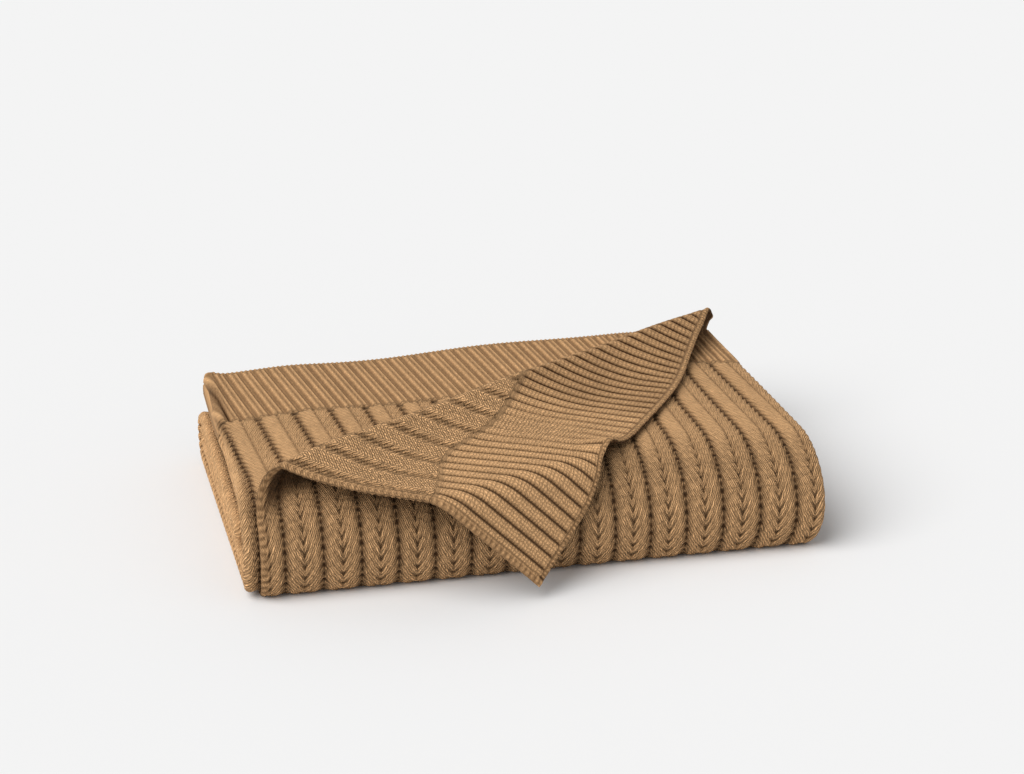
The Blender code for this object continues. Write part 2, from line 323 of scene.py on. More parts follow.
def turn_points(turn, heading, side):
    """Points and normals of the strip's middle layer round one turn, evenly in angle."""
    low = level_z(turn["from_level"])
    high = level_z(turn["to_level"])
    up = math.copysign(1.0, high - low)
    middle = mix(low, high, turn["share"])
    sign = 1.0 if up * side < 0 else -1.0
    for index in range(1, TURN_SAMPLES + 1):
        angle = math.pi * index / TURN_SAMPLES
        first = angle <= math.pi / 2
        reach = turn["reach_in"] if first else turn["reach_out"]
        rise = abs(middle - low) if first else abs(high - middle)
        y = turn["tip_y"] - heading * reach * (1.0 - math.sin(angle))
        z = middle - up * rise * math.cos(angle)
        normal = Vector((heading * rise * math.sin(angle), -up * reach * math.cos(angle)))
        normal.normalize()
        yield y, z, normal.x * sign, normal.y * sign


PATH, PATH_ENDS = strip_path()
CLOTH_LENGTH = PATH[0, -1]
OUTER_WIDTH = RIGHT_FOLD_X - SELVEDGE_X
RIGHT_FOLD_WIDTH = math.pi * LAYER_PITCH
BOTTOM_WIDTH = RIGHT_FOLD_X - LEFT_FOLD_X
LEFT_FOLD_WIDTH = math.pi * LAYER_PITCH / 2
INNER_WIDTH = INNER_EDGE_X - LEFT_FOLD_X
U_BOTTOM = OUTER_WIDTH + RIGHT_FOLD_WIDTH
U_LEFT = U_BOTTOM + BOTTOM_WIDTH
U_INNER = U_LEFT + LEFT_FOLD_WIDTH
CLOTH_WIDTH = U_INNER + INNER_WIDTH
COLUMN_PITCH = (CLOTH_WIDTH - 2 * FIRST_GAP) / COLUMN_COUNT
RIB_PITCH = COLUMN_PITCH / RIBS_PER_COLUMN
LEFT_FOLD_U = (U_LEFT + U_INNER) / 2


def across(u):
    """Place x and height n in the three-layer section at a distance u from the selvedge."""
    half = LAYER_PITCH / 2
    right = np.clip((u - OUTER_WIDTH) / LAYER_PITCH, 0.0, math.pi)
    left = np.clip((u - U_LEFT) / half, 0.0, math.pi)
    x = np.where(u < OUTER_WIDTH, SELVEDGE_X + u, RIGHT_FOLD_X + LAYER_PITCH * np.sin(right))
    n = LAYER_PITCH * np.cos(right)
    x = np.where(u > U_BOTTOM, RIGHT_FOLD_X - (u - U_BOTTOM), x)
    x = np.where(u > U_LEFT, LEFT_FOLD_X - half * np.sin(left), x)
    n = np.where(u > U_LEFT, -half - half * np.cos(left), n)
    x = np.where(u > U_INNER, LEFT_FOLD_X + u - U_INNER, x)
    return x, n


def layer_point(x, n, v):
    """Folded place of section points carried to v along the path."""
    y, z, normal_y, normal_z, left_shift, right_shift = [
        np.interp(v, PATH[0], PATH[row]) for row in range(1, 7)
    ]
    left = 1.0 - smooth((x - LEFT_FOLD_X) / LEFT_SHIFT_WIDTH)
    right = 1.0 - smooth((RIGHT_FOLD_X - x) / RIGHT_SHIFT_WIDTH)
    share = mix(1.0, SELVEDGE_SHARE, smooth(n / LAYER_PITCH))
    shifted = x + left * share * left_shift + right * right_shift
    bow = HEM_BOW * bell(x - HEM_BOW_X, HEM_BOW_WIDTH)
    y = y - bow * np.clip(1.0 - v / HEM_Y, 0.0, 1.0) ** 2
    return np.stack((shifted, y + n * normal_y, z + n * normal_z), -1)


CREASE_ALONG = np.array((math.cos(CREASE_ANGLE), math.sin(CREASE_ANGLE)))
CREASE_ACROSS = np.array((-math.sin(CREASE_ANGLE), math.cos(CREASE_ANGLE)))
CREASE_START = np.array((SELVEDGE_X, CREASE_Y))
BEND_FORWARD = np.array((math.sin(BEND_ANGLE), -math.cos(BEND_ANGLE)))


def crease_place(u, v):
    """Distances of flat points of the outer layer along the crease and behind it."""
    flat = np.stack((u + SELVEDGE_X, HEM_Y - v), -1) - CREASE_START
    return flat @ CREASE_ALONG, flat @ CREASE_ACROSS


def crease_radius(along):
    """Radius of the turned-over fold, wider at the selvedge."""
    left, middle, right = CREASE_RADIUS
    share = np.clip(along / CREASE_LENGTH, 0.0, 1.0)
    near = np.clip(1.0 - share / CREASE_END_SHARE, 0.0, 1.0)
    far = np.clip((share - 1.0 + CREASE_END_SHARE) / CREASE_END_SHARE, 0.0, 1.0)
    return middle + (left - middle) * near ** 2 + (right - middle) * far ** 2


def hem_pull(u, v, beyond):
    """How far the turned corner's hem is drawn in or out, away from the crease."""
    pull = HEM_OUT * bell(u - HEM_OUT_U, HEM_OUT_WIDTH)
    pull = pull - HEM_IN * bell(u - HEM_IN_U, HEM_IN_WIDTH)
    near_hem = np.clip(1.0 - v / HEM_PULL_LENGTH, 0.0, 1.0)
    return pull * near_hem ** 2 * smooth(beyond / HEM_PULL_FADE)


def hem_wave(u, v):
    """Small wave that lifts the turned corner's hem off the front."""
    wave = HEM_WAVE * bell(u - HEM_WAVE_U, HEM_WAVE_WIDTH)
    return wave * (1.0 - smooth(v / HEM_WAVE_LENGTH))


def corner_point(u, v):
    """Place of outer-layer points beyond the crease, turned over it and over the front."""
    along, beyond = crease_place(u, v)
    along, beyond = crease_place(u, v + hem_pull(u, v, beyond))
    beyond = np.maximum(beyond, 0.0)
    radius = crease_radius(along)
    turn = np.minimum(beyond / radius, math.pi)
    back = radius * np.sin(turn) - np.maximum(beyond - math.pi * radius, 0.0)
    lifted = (1.0 - np.cos(turn)) / 2
    plan = CREASE_START + CREASE_ALONG * along[..., None] + CREASE_ACROSS * back[..., None]
    below = layer_point(plan[..., 0], np.full_like(u, LAYER_PITCH), HEM_Y - plan[..., 1])
    settled = np.clip(-back / SETTLE_LENGTH, 0.0, 1.0)
    loop_top = level_z(6) + LAYER_PITCH + 2 * radius
    height = FLAP_Z + (loop_top - FLAP_Z) * (1.0 - settled) ** 2
    peak = np.hypot(plan[..., 0] - PEAK_X, plan[..., 1] - HEM_Y)
    height = height + PEAK_LIFT * bell(peak, PEAK_WIDTH)
    forward = np.maximum((plan - BEND_POINT) @ BEND_FORWARD, 0.0)
    bend = np.minimum(forward / BEND_RADIUS, BEND_TURN)
    rest = np.maximum(forward - BEND_RADIUS * BEND_TURN, 0.0)
    reach = BEND_RADIUS * np.sin(bend) + rest * np.cos(bend)
    drop = BEND_RADIUS * (1.0 - np.cos(bend)) + rest * np.sin(bend)
    plan = plan + BEND_FORWARD * (reach - forward)[..., None]
    over = np.concatenate((plan, (height - drop)[..., None]), -1)
    return mix(below, over, lifted[..., None])


def folded(u, v):
    """Folded place of flat points on the middle of the cloth, in the frame."""
    x, n = across(u)
    point = layer_point(x, n, v)
    _, beyond = crease_place(u, v)
    turned = (u <= OUTER_WIDTH) & (v < HEM_Y - CREASE_Y) & (beyond > 0.0)
    point = np.where(turned[..., None], corner_point(u, v), point)
    x, z = point[..., 0], point[..., 2]
    left = LEFT_DROOP * (1.0 - smooth((x - LEFT_FOLD_X) / LEFT_DROOP_WIDTH))
    right = RIGHT_DROOP * (1.0 - smooth((RIGHT_FOLD_X - x) / RIGHT_DROOP_WIDTH))
    wave = WAVE_HEIGHT * np.sin(2 * math.pi * x / WAVE_LENGTH)
    loaded = np.minimum(z, STACK_TOP_Z) - THICKNESS / 2
    height = z - (left + right) * loaded + wave * loaded / STACK_TOP_Z
    point[..., 2] = np.maximum(height, THICKNESS / 2)
    return point - np.array(ORIGIN)


def face_normal(u, v):
    """Normal of the cloth's face side, by small steps along both directions."""
    step = 0.0006
    along_u = folded(u + step, v) - folded(u - step, v)
    along_v = folded(u, v + step) - folded(u, v - step)
    normal = np.cross(along_v, along_u)
    return normal / np.maximum(np.linalg.norm(normal, axis=-1, keepdims=True), 1e-12)


def fraction(value):
    """Part of a value past its whole number."""
    return value - np.floor(value)


def from_hem(v):
    """Distance from the nearer hem."""
    return np.minimum(v, CLOTH_LENGTH - v)


def from_selvedge(u):
    """Distance from the nearer selvedge."""
    return np.minimum(u, CLOTH_WIDTH - u)


def front_share(v):
    """0 on the top of the stack to 1 on its front."""
    return smooth((v - FRONT_V) / FRONT_FADE)


def knit_u(u, v):
    """Place across the knit: towards the first hem the knit is drawn sideways."""
    outer = OUTER_SKEW * smooth((u - OUTER_SKEW_U) / OUTER_SKEW_FADE)
    inner = smooth((u - INNER_SKEW_U) / INNER_SKEW_FADE)
    skew = mix(outer, INNER_SKEW, inner) * np.clip(1.0 - v / SKEW_LENGTH, 0.0, 1.0)
    return u + skew + RIB_SKEW * inner * np.clip(1.0 - v / BORDER, 0.0, 1.0)


def column_turns(u, v):
    """Columns counted across the knit, and 0 on a column's spine to 1 on a gap."""
    turns = (knit_u(u, v) - FIRST_GAP) / COLUMN_PITCH
    return turns, np.abs(2.0 * fraction(turns) - 1.0)


def rib_turns(u, v):
    """Ribs counted across the knit."""
    return (knit_u(u, v) - FIRST_GAP) / RIB_PITCH


def leaf_phase(side, v):
    """Leaves counted along a column: they lean less towards the floor."""
    lean = mix(LEAN_HIGH, LEAN_LOW, smooth((v - LEAN_V) / LEAN_FADE))
    return (v + lean * side) / UNIT


def loop_phase(side, v):
    """Loops counted along a column on the reverse."""
    return (v + LOOP_LEAN * side) / LOOP


def border_share(u, v):
    """1 on the ribbed borders and 0 on the columns. The turned corner's border is wider
    where it is stretched over the bend."""
    width = BORDER + BORDER_STRETCH * bell(u - BORDER_STRETCH_U, BORDER_STRETCH_WIDTH)
    width = width + BORDER_EDGE * bell(u, BORDER_EDGE_WIDTH)
    narrow = BORDER_NARROW * smooth((u - BORDER_NARROW_U) / BORDER_NARROW_FADE)
    width = width - narrow * (u < U_BOTTOM)
    width = width + BORDER_SCALLOP * np.cos(2 * math.pi * rib_turns(u, v))
    return 1.0 - smooth((from_hem(v) - width + BORDER_FADE / 2) / BORDER_FADE)


def far_half(turns):
    """1 on the half of a column past its spine, which leans away from the light."""
    return smooth((fraction(turns) - 0.47) / 0.06)


def column_face(u, v):
    """Height of the raised columns on the face side, and the painted shade on them: dark in the
    gaps, on the spines and in the V marks, lighter on the beads as a painted highlight, a
    little darker on the half that leans away from the light and a little lighter on the top.
    """
    turns, side = column_turns(u, v)
    half = COLUMN_PITCH / 2
    front = front_share(v)
    rows = [dict(zip(FACE_COLUMNS, row)) for row in FACE_SIZES]
    size = {row["name"]: mix(row["on_top"], row["on_front"], front) for row in rows}
    lobe = np.abs(np.cos(math.pi * leaf_phase(side, v)))
    far = far_half(turns) * (1.0 - front)
    edge = np.clip(side + size["edge lean"] * (1.0 - lobe) * side, 0.0, 1.0)
    pillow = (1.0 - edge ** size["pillow power"]) ** 0.75
    spine = bell(side * half, SPINE_WIDTH)
    mark = bell(side * half, MARK_WIDTH) * (1.0 - lobe) ** 2 * front
    bead = bell((1.0 - side) * half, BEAD_WIDTH)
    bead = bead * (0.5 + 0.5 * np.cos(4 * math.pi * leaf_phase(1.0, v))) * size["bead share"]
    height = -0.0002 + size["pillow height"] * pillow + 0.0006 * (1.0 - side)
    height = height + size["leaf height"] * (lobe - 0.6) * pillow
    height = height - SPINE_DEPTH * spine - MARK_DEPTH * mark + BEAD_HEIGHT * bead
    height = height - 0.0002 * far
    # painted shade: dark in the gaps, on the spines, between the leaves and in the V marks,
    # with a painted highlight on the beads; on the top the half away from the light is painted
    # darker and the whole lighter
    painted_shade = size["gap shade"] * (1.0 - pillow) ** 1.2 + size["spine shade"] * spine
    painted_shade = painted_shade + 1.15 * mark - 0.80 * bead
    painted_shade = painted_shade + size["lobe shade"] * (1.0 - lobe) ** 2
    painted_shade = painted_shade + 0.07 * far - 0.06 * (1.0 - front)
    return height, painted_shade


def rib_side(u, v):
    """0 in the middle of a rib to 1 in the middle of a valley."""
    return np.abs(2.0 * fraction(rib_turns(u, v)) - 1.0)


def rib_face(u, v):
    """Height of the ribs on the face side: two stitches up, then a valley, with painted shade
    in the valley and along the groove in each rib's middle.
    """
    side = rib_side(u, v)
    plateau = 1.0 - smooth((side - 0.38) / 0.38)
    middle = bell(side * RIB_PITCH / 2, RIB_GROOVE_WIDTH)
    height = 0.0004 + RIB_HEIGHT * plateau - RIB_GROOVE_DEPTH * middle
    return height, 0.03 + 0.55 * (1.0 - plateau) + 0.65 * middle


def column_reverse(u, v):
    """Height of the columns seen from the reverse, with painted shade in their grooves: one
    half of each shows a ladder of slanted grooves, the other a band of loops."""
    turns, side = column_turns(u, v)
    ladder = smooth((fraction(turns) - 0.50) / 0.10)
    phase = loop_phase(side, v)
    groove = bell((fraction(phase + 0.5) - 0.5) * LOOP, LADDER_WIDTH)
    groove = groove * bell(side - 0.50, 0.32)
    lobe = 0.5 - 0.5 * np.cos(2 * math.pi * phase)
    _, beyond = crease_place(u, v)
    near_crease = 1.25 + 0.35 * bell(beyond - LADDER_BEYOND, LADDER_BEYOND_WIDTH)
    cut = groove * mix(0.25, 1.0, ladder) * near_crease
    height = 0.0014 + 0.0006 * bell(side - 0.5, 0.45) + 0.0003 * lobe
    return height - LADDER_DEPTH * cut, 0.88 * cut - 0.06


def fan_share(u, v):
    """How open the ribs' grooves are on the turned corner: they close where it is stretched."""
    return 1.0 - 0.90 * bell(u - FAN_U, FAN_WIDTH) * bell(v - FAN_V, FAN_LENGTH)


def rib_reverse(u, v):
    """Height of the ribs on the reverse: wide beaded bands, narrow grooves, with painted shade
    in the grooves, more of it over the turned corner's upper ribs and a little where the corner
    is stretched.
    """
    side = rib_side(u, v)
    groove = bell(side * RIB_PITCH / 2, RIB_BACK_GROOVE_WIDTH) * fan_share(u, v)
    upper = smooth((u - UPPER_RIBS_U) / UPPER_RIBS_FADE)
    height = RIB_HEIGHT - RIB_BACK_GROOVE_DEPTH * groove
    height = height - mix(0.0004, 0.0008, upper) * side ** 2
    # painted shade: the grooves, the turned corner's upper ribs and its stretched part are
    # painted darker
    return height, groove + mix(0.05, 0.32, upper) + 0.08 * (1.0 - fan_share(u, v))


def left_slit(u, v):
    """Slit between the two puffed folds at the back of the left side."""
    share = (v - SLIT_V) / SLIT_LENGTH
    place = mix(LEFT_FOLD_U, U_INNER + SLIT_REACH, share)
    slit = bell(u - place, SLIT_WIDTH) * smooth((share + 0.25) / 0.3)
    return slit * (1.0 - smooth((share - 0.8) / 0.3))


def fold_inside_shade(u, v):
    """Painted shade: 1 on the face where it faces itself inside the turned corner's fold, which
    is painted dark there.
    """
    _, beyond = crease_place(u, v)
    inside = smooth((beyond + 0.008) / 0.020) * (u < OUTER_WIDTH)
    return inside * smooth((u - 0.0055) / 0.0030)


def relief(u, v, side):
    """Height of the knit over the cloth's middle and the painted shade on it, on the face (1)
    or the reverse (-1), with rounded and beaded edges. The shade is painted darker in gaps,
    grooves, slits, holes and inside the turned fold, and lighter on proud beads as a painted
    highlight."""
    border = border_share(u, v)
    columns = column_face(u, v) if side > 0 else column_reverse(u, v)
    ribs = rib_face(u, v) if side > 0 else rib_reverse(u, v)
    height = mix(columns[0], ribs[0], border)
    painted_shade = mix(columns[1], ribs[1], border)
    selvedge = from_selvedge(u)
    hem = from_hem(v)
    nearest = np.minimum(selvedge, hem)
    chain = 0.45 + 0.55 * np.cos(2 * math.pi * v / CHAIN_PITCH)
    chain = bell(selvedge - CHAIN_PLACE, CHAIN_WIDTH) * chain
    cast = 0.5 + 0.5 * np.cos(2 * math.pi * u / CAST_PITCH)
    cast = bell(hem - CAST_PLACE, CAST_WIDTH) * cast
    band = 1.0 - smooth((nearest - BAND_WIDTH) / BAND_FADE)
    trench_shade = bell(selvedge - TRENCH_SHADE_PLACE, TRENCH_SHADE_WIDTH)
    proud = np.maximum(CHAIN_HEIGHT * chain, CAST_HEIGHT * cast)
    height = mix(height, BAND_HEIGHT, band) + proud
    # painted shade: a set share on the flat band along the edges and a dark line inside the
    # selvedge's beads; painted highlight on the selvedge's beads and the hem's stitches
    painted_shade = mix(painted_shade, 0.62, band) - 0.60 * np.maximum(chain, cast) + 0.60 * trench_shade
    inward = np.clip(nearest / EDGE_ROUND, 0.0, 1.0)
    height = height * np.sqrt(np.clip(1.0 - (1.0 - inward) ** 2, 0.0, 1.0))
    if side > 0:
        puff = bell(u - LEFT_FOLD_U, PUFF_WIDTH)
        puff = puff * (1.0 - smooth((hem - PUFF_LENGTH) / PUFF_LENGTH))
        slit = left_slit(u, v)
        inside = 0.92 * fold_inside_shade(u, v)
        height = height + PUFF * puff - SLIT_DEPTH * slit
        # painted shade in the slit between the puffed folds and inside the turned corner's fold
        painted_shade = mix(painted_shade, 1.0, np.maximum(slit, inside))
        # painted shade: a row of dark holes along the left folds, with no relief of their own
        holes = bell(u - (U_LEFT - HOLE_PLACE), HOLE_WIDTH)
        holes = holes + bell(u - (U_INNER + HOLE_PLACE), HOLE_WIDTH)
        holes = holes * smooth(fraction(v / HOLE_PITCH) * 4.0 - 2.0)
        painted_shade = painted_shade + 0.45 * (holes * smooth((hem - 0.10) / 0.02))
    return height, np.clip(painted_shade, 0.0, 1.0)


def strands(u, v, side):
    """Strands counted across their length, stitches counted along it, and how strongly
    both show."""
    border = border_share(u, v)
    turns, place = column_turns(u, v)
    ribs = rib_turns(u, v)
    if side > 0:
        across_strands = mix(leaf_phase(place, v) * STRANDS_PER_UNIT, ribs * 4.0, border)
        along_strands = mix(place * COLUMN_PITCH / 2 / 0.0025, v / 0.0036, border)
        # the half of a column away from the light shows its strands more strongly, in bump and
        # in the painted shade between them
        top = mix(0.56, 0.74, far_half(turns))
        strength = mix(mix(top, 1.40, front_share(v)), 0.40, border)
        fold = bell(u - LEFT_FOLD_U, 0.012) * smooth((v - 0.30) / 0.10)
        strength = strength * (1.0 - 0.5 * fold)
    else:
        across_strands = mix(2.0 * loop_phase(place, v) - 0.55, v / 0.0028, border)
        part = fraction(turns)
        loops = 6.0 * np.floor(turns) + 10.0 * np.minimum(part, 0.5)
        loops = loops + 2.0 * np.maximum(part - 0.5, 0.0) + 0.5
        along_strands = mix(loops, ribs * 4.0, border)
        strength = mix(1.25, 0.60 + 0.35 * (1.0 - fan_share(u, v)), border)
    strength = strength * mix(0.45, 1.0, smooth((from_selvedge(u) - 0.0050) / 0.0025))
    strength = strength * (1.0 - 3.6 * border * (1.0 - border))
    return np.stack((across_strands, along_strands, strength), -1)


def lines(low, high, step, anchor, limit):
    """Mesh lines from low to high: multiples of a step from an anchor, the two ends, and
    closer lines at the cloth's own edges."""
    first = math.floor((low - anchor) / step) - 1
    last = math.ceil((high - anchor) / step) + 1
    places = anchor + step * np.arange(first, last + 1)
    reach = EDGE_LINES[-1]
    places = places[(places > low + 0.3 * step) & (places < high - 0.3 * step)]
    extra = [low, high]
    if low <= 0.0:
        places = places[places > reach + 0.4 * step]
        extra += EDGE_LINES
    if high >= limit:
        places = places[places < limit - reach - 0.4 * step]
        extra += [limit - line for line in EDGE_LINES]
    return np.unique(np.round(np.concatenate((places, extra)), 7))


def u_lines(low, high, stride):
    """Lines that run along the columns."""
    step = COLUMN_PITCH / LINES_PER_COLUMN * stride
    return lines(low, high, step, FIRST_GAP, CLOTH_WIDTH)


def v_lines(low, high, stride):
    """Lines that run across the columns."""
    return lines(low, high, ROW_STEP * stride, 0.0, CLOTH_LENGTH)


def in_front_of_crease(u, v):
    """Cells of the outer layer that stay in place, up to just past the crease."""
    _, beyond = crease_place(u, v)
    return (beyond < 0.004) | (u > OUTER_WIDTH)


def behind_crease(u, v):
    """Cells of the turned corner, from just before the crease."""
    _, beyond = crease_place(u, v)
    return beyond > -0.004


def beyond_on_inner(u, v):
    """Distance of points of the inner layer behind the crease that lies over them."""
    return crease_place(u - U_INNER + LEFT_FOLD_X - SELVEDGE_X, v)[1]


def in_sight(u, v):
    """Cells of the inner layer that the outer layer leaves bare, and a margin."""
    return beyond_on_inner(u, v) > -0.020


def out_of_sight(u, v):
    """Cells of the inner layer that the outer layer hides."""
    return beyond_on_inner(u, v) < -0.004


def everywhere(u, v):
    """Every cell."""
    return np.full(u.shape, True)


def patch(us, vs, side, keep):
    """One grid of the cloth: its points, flat places, painted shade, strands, faces and area.

    side is 1 for the face, -1 for the reverse and 0 for the middle of the cloth."""
    v, u = np.meshgrid(vs, us, indexing="ij")
    points = folded(u, v)
    painted_shade = np.full(u.shape, 0.5)
    if side:
        height, painted_shade = relief(u, v, side)
        proud = side * height - hem_wave(u, v)
        points = points + face_normal(u, v) * proud[..., None]
    points[..., 2] = np.maximum(points[..., 2], FLOOR_GAP)
    number = np.arange(u.size).reshape(u.shape)
    cells = np.stack((number[:-1, :-1], number[:-1, 1:], number[1:, 1:], number[1:, :-1]), -1)
    middle_u = (u[:-1, :-1] + u[1:, 1:]) / 2
    middle_v = (v[:-1, :-1] + v[1:, 1:]) / 2
    cells = cells[keep(middle_u, middle_v)]
    if side >= 0:
        cells = cells[:, ::-1]
    area = 0.0
    if side >= 0:
        sizes = np.outer(np.diff(vs), np.diff(us))
        area = float(sizes[keep(middle_u, middle_v)].sum())
    columns = (points, np.stack((u, v), -1), painted_shade[..., None], strands(u, v, side))
    return *(column.reshape(u.size, -1) for column in columns), cells, area


# Widths of the parts of a layer that show at its edges, with the knit's relief.
SIDE = 0.014
EDGE_STRIP = 0.020
RIGHT_STRIP = 0.030
REVERSE_STRIP = 0.010
LEFT_TOP_STRIP = 0.050
V_BARE_END = 0.270
V_CORNER_END = HEM_Y + 0.006
V_FRONT_END = PATH_ENDS[1] + 0.012
V_BACK_START = PATH_ENDS[2] - 0.010
V_BACK_END = PATH_ENDS[3] + 0.020
V_LAST_BACK = CLOTH_LENGTH - 0.030
U_TOP = U_INNER + LEFT_TOP_STRIP
OUTER_PART = (EDGE_STRIP, OUTER_WIDTH - RIGHT_STRIP)
BOTTOM_PART = (U_BOTTOM + SIDE, U_LEFT - SIDE)
INNER_PART = (U_INNER + SIDE, CLOTH_WIDTH)


def plain_rows(start, stop):
    """Grids of the cloth's middle for the stretch of the strip from start to stop."""
    parts = (OUTER_PART, BOTTOM_PART, INNER_PART)
    return [(0, *part, 13, start, stop, 4, everywhere) for part in parts]


# Pieces of the cloth, each a set of grids: side, first and last u, stride of the lines
# along the columns, first and last v, stride of the lines across them, cells to keep.
GRID_COLUMNS = ("side", "u_from", "u_to", "u_stride", "v_from", "v_to", "v_stride", "keep")
PIECES = {
    "throw_outer": (
        (1, 0.0, U_BOTTOM, 1, 0.0, V_FRONT_END, 1, in_front_of_crease),
        (-1, 0.0, REVERSE_STRIP, 2, HEM_Y, V_FRONT_END, 1, everywhere),
        (-1, 0.30, U_BOTTOM, 1, 0.0, REVERSE_STRIP, 2, in_front_of_crease),
    ),
    "throw_corner": (
        (-1, 0.0, OUTER_WIDTH, 1, 0.0, V_CORNER_END, 1.2, behind_crease),
        (1, 0.0, OUTER_WIDTH, 1, 0.0, V_CORNER_END, 1.2, behind_crease),
    ),
    "throw_inner": (
        (1, U_LEFT - SIDE, U_TOP, 1, 0.0, V_FRONT_END, 1, everywhere),
        (1, U_TOP, CLOTH_WIDTH, 1, 0.0, V_BARE_END, 1, in_sight),
        (-1, U_LEFT - SIDE, CLOTH_WIDTH, 1, 0.0, REVERSE_STRIP, 2, everywhere),
    ),
    "throw_left_side": (
        (1, U_LEFT - SIDE, U_INNER + SIDE, 1, V_FRONT_END, CLOTH_LENGTH, 1, everywhere),
        (1, 0.0, EDGE_STRIP, 1, V_FRONT_END, CLOTH_LENGTH, 2, everywhere),
        (-1, 0.0, REVERSE_STRIP, 2, V_FRONT_END, CLOTH_LENGTH, 2, everywhere),
    ),
    "throw_back_and_right": (
        (1, U_BOTTOM, U_BOTTOM + SIDE, 1, 0.0, V_FRONT_END, 1, everywhere),
        (1, OUTER_PART[1], U_BOTTOM + SIDE, 1, V_FRONT_END, CLOTH_LENGTH, 2, everywhere),
        (1, *OUTER_PART, 2, V_BACK_START, V_BACK_END, 1, everywhere),
        (1, *OUTER_PART, 2, V_LAST_BACK, CLOTH_LENGTH, 1, everywhere),
        (-1, REVERSE_STRIP, U_BOTTOM + SIDE, 2,
         CLOTH_LENGTH - REVERSE_STRIP, CLOTH_LENGTH, 1, everywhere),
        (1, *BOTTOM_PART, 2, 0.0, EDGE_STRIP, 1, everywhere),
        (-1, U_BOTTOM, U_LEFT - SIDE, 2, 0.0, EDGE_STRIP, 1, everywhere),
        (1, *BOTTOM_PART, 2, V_LAST_BACK, CLOTH_LENGTH, 1, everywhere),
        (-1, *BOTTOM_PART, 2, V_LAST_BACK, CLOTH_LENGTH, 1, everywhere),
        (1, *INNER_PART, 2, V_LAST_BACK, CLOTH_LENGTH, 1, everywhere),
        (-1, *INNER_PART, 2, V_LAST_BACK, CLOTH_LENGTH, 1, everywhere),
    ),
    "throw_inside": (
        (0, *BOTTOM_PART, 13, EDGE_STRIP, V_FRONT_END, 4, everywhere),
        (0, U_TOP, CLOTH_WIDTH, 13, 0.0, V_BARE_END, 4, out_of_sight),
        (0, U_TOP, CLOTH_WIDTH, 13, V_BARE_END, V_FRONT_END, 4, everywhere),
        *plain_rows(V_FRONT_END, V_BACK_START),
        *plain_rows(V_BACK_START, V_BACK_END)[1:],
        *plain_rows(V_BACK_END, V_LAST_BACK),
    ),
}
CLOSED = ("throw_corner",)


def rim_faces(cells, offset):
    """Faces that join the open edge of some cells to the same edge, offset further on."""
    edges = np.concatenate([cells[:, [first, (first + 1) % 4]] for first in range(4)])
    _, places, uses = np.unique(
        np.sort(edges, 1), axis=0, return_index=True, return_counts=True
    )
    edge = edges[places[uses == 1]]
    return np.stack((edge[:, 1], edge[:, 0], edge[:, 0] + offset, edge[:, 1] + offset), -1)


def cloth_piece(name, materials):
    """One mesh made of a piece's grids, merged where they meet."""
    points, flats, painted_shades, knits, faces, slots = [], [], [], [], [], []
    start = 0
    area = 0.0
    for row in PIECES[name]:
        grid = dict(zip(GRID_COLUMNS, row))
        us = u_lines(grid["u_from"], grid["u_to"], grid["u_stride"])
        vs = v_lines(grid["v_from"], grid["v_to"], grid["v_stride"])
        point, flat, painted_shade, knit, cells, size = patch(us, vs, grid["side"], grid["keep"])
        points.append(point)
        flats.append(flat)
        painted_shades.append(painted_shade)
        knits.append(knit)
        faces.append(cells + start)
        slots.append(np.full(len(cells), 1 if grid["side"] < 0 else 0))
        start += len(point)
        area += size
    if name in CLOSED:
        rims = rim_faces(faces[0], len(points[0]))
        faces.append(rims)
        slots.append(np.full(len(rims), 1))
    points, flats, painted_shades, knits, faces = map(
        np.concatenate, (points, flats, painted_shades, knits, faces)
    )
    mesh = bpy.data.meshes.new(name)
    mesh.from_pydata(points.tolist(), [], faces.tolist())
    for material in materials:
        mesh.materials.append(material)
    mesh.polygons.foreach_set("material_index", np.concatenate(slots).astype(np.int32))
    flat_layer = mesh.uv_layers.new(name="cloth")
    corners = np.zeros(len(mesh.loops), dtype=np.int32)
    mesh.loops.foreach_get("vertex_index", corners)
    flat_layer.data.foreach_set("uv", flats[corners].ravel())
    # painted shade for each point, read by the yarn's material
    layer = mesh.attributes.new("painted_shade", "FLOAT", "POINT")
    layer.data.foreach_set("value", painted_shades.ravel())
    layer = mesh.attributes.new("strands", "FLOAT_VECTOR", "POINT")
    layer.data.foreach_set("vector", knits.ravel())
    tidy = bmesh.new()
    tidy.from_mesh(mesh)
    bmesh.ops.remove_doubles(tidy, verts=tidy.verts, dist=0.00001)
    loose = [vert for vert in tidy.verts if not vert.link_faces]
    bmesh.ops.delete(tidy, geom=loose, context="VERTS")
    tidy.to_mesh(mesh)
    tidy.free()
    mesh.shade_smooth()
    piece = bpy.data.objects.new(name, mesh)
    bpy.context.scene.collection.objects.link(piece)
    return piece, area


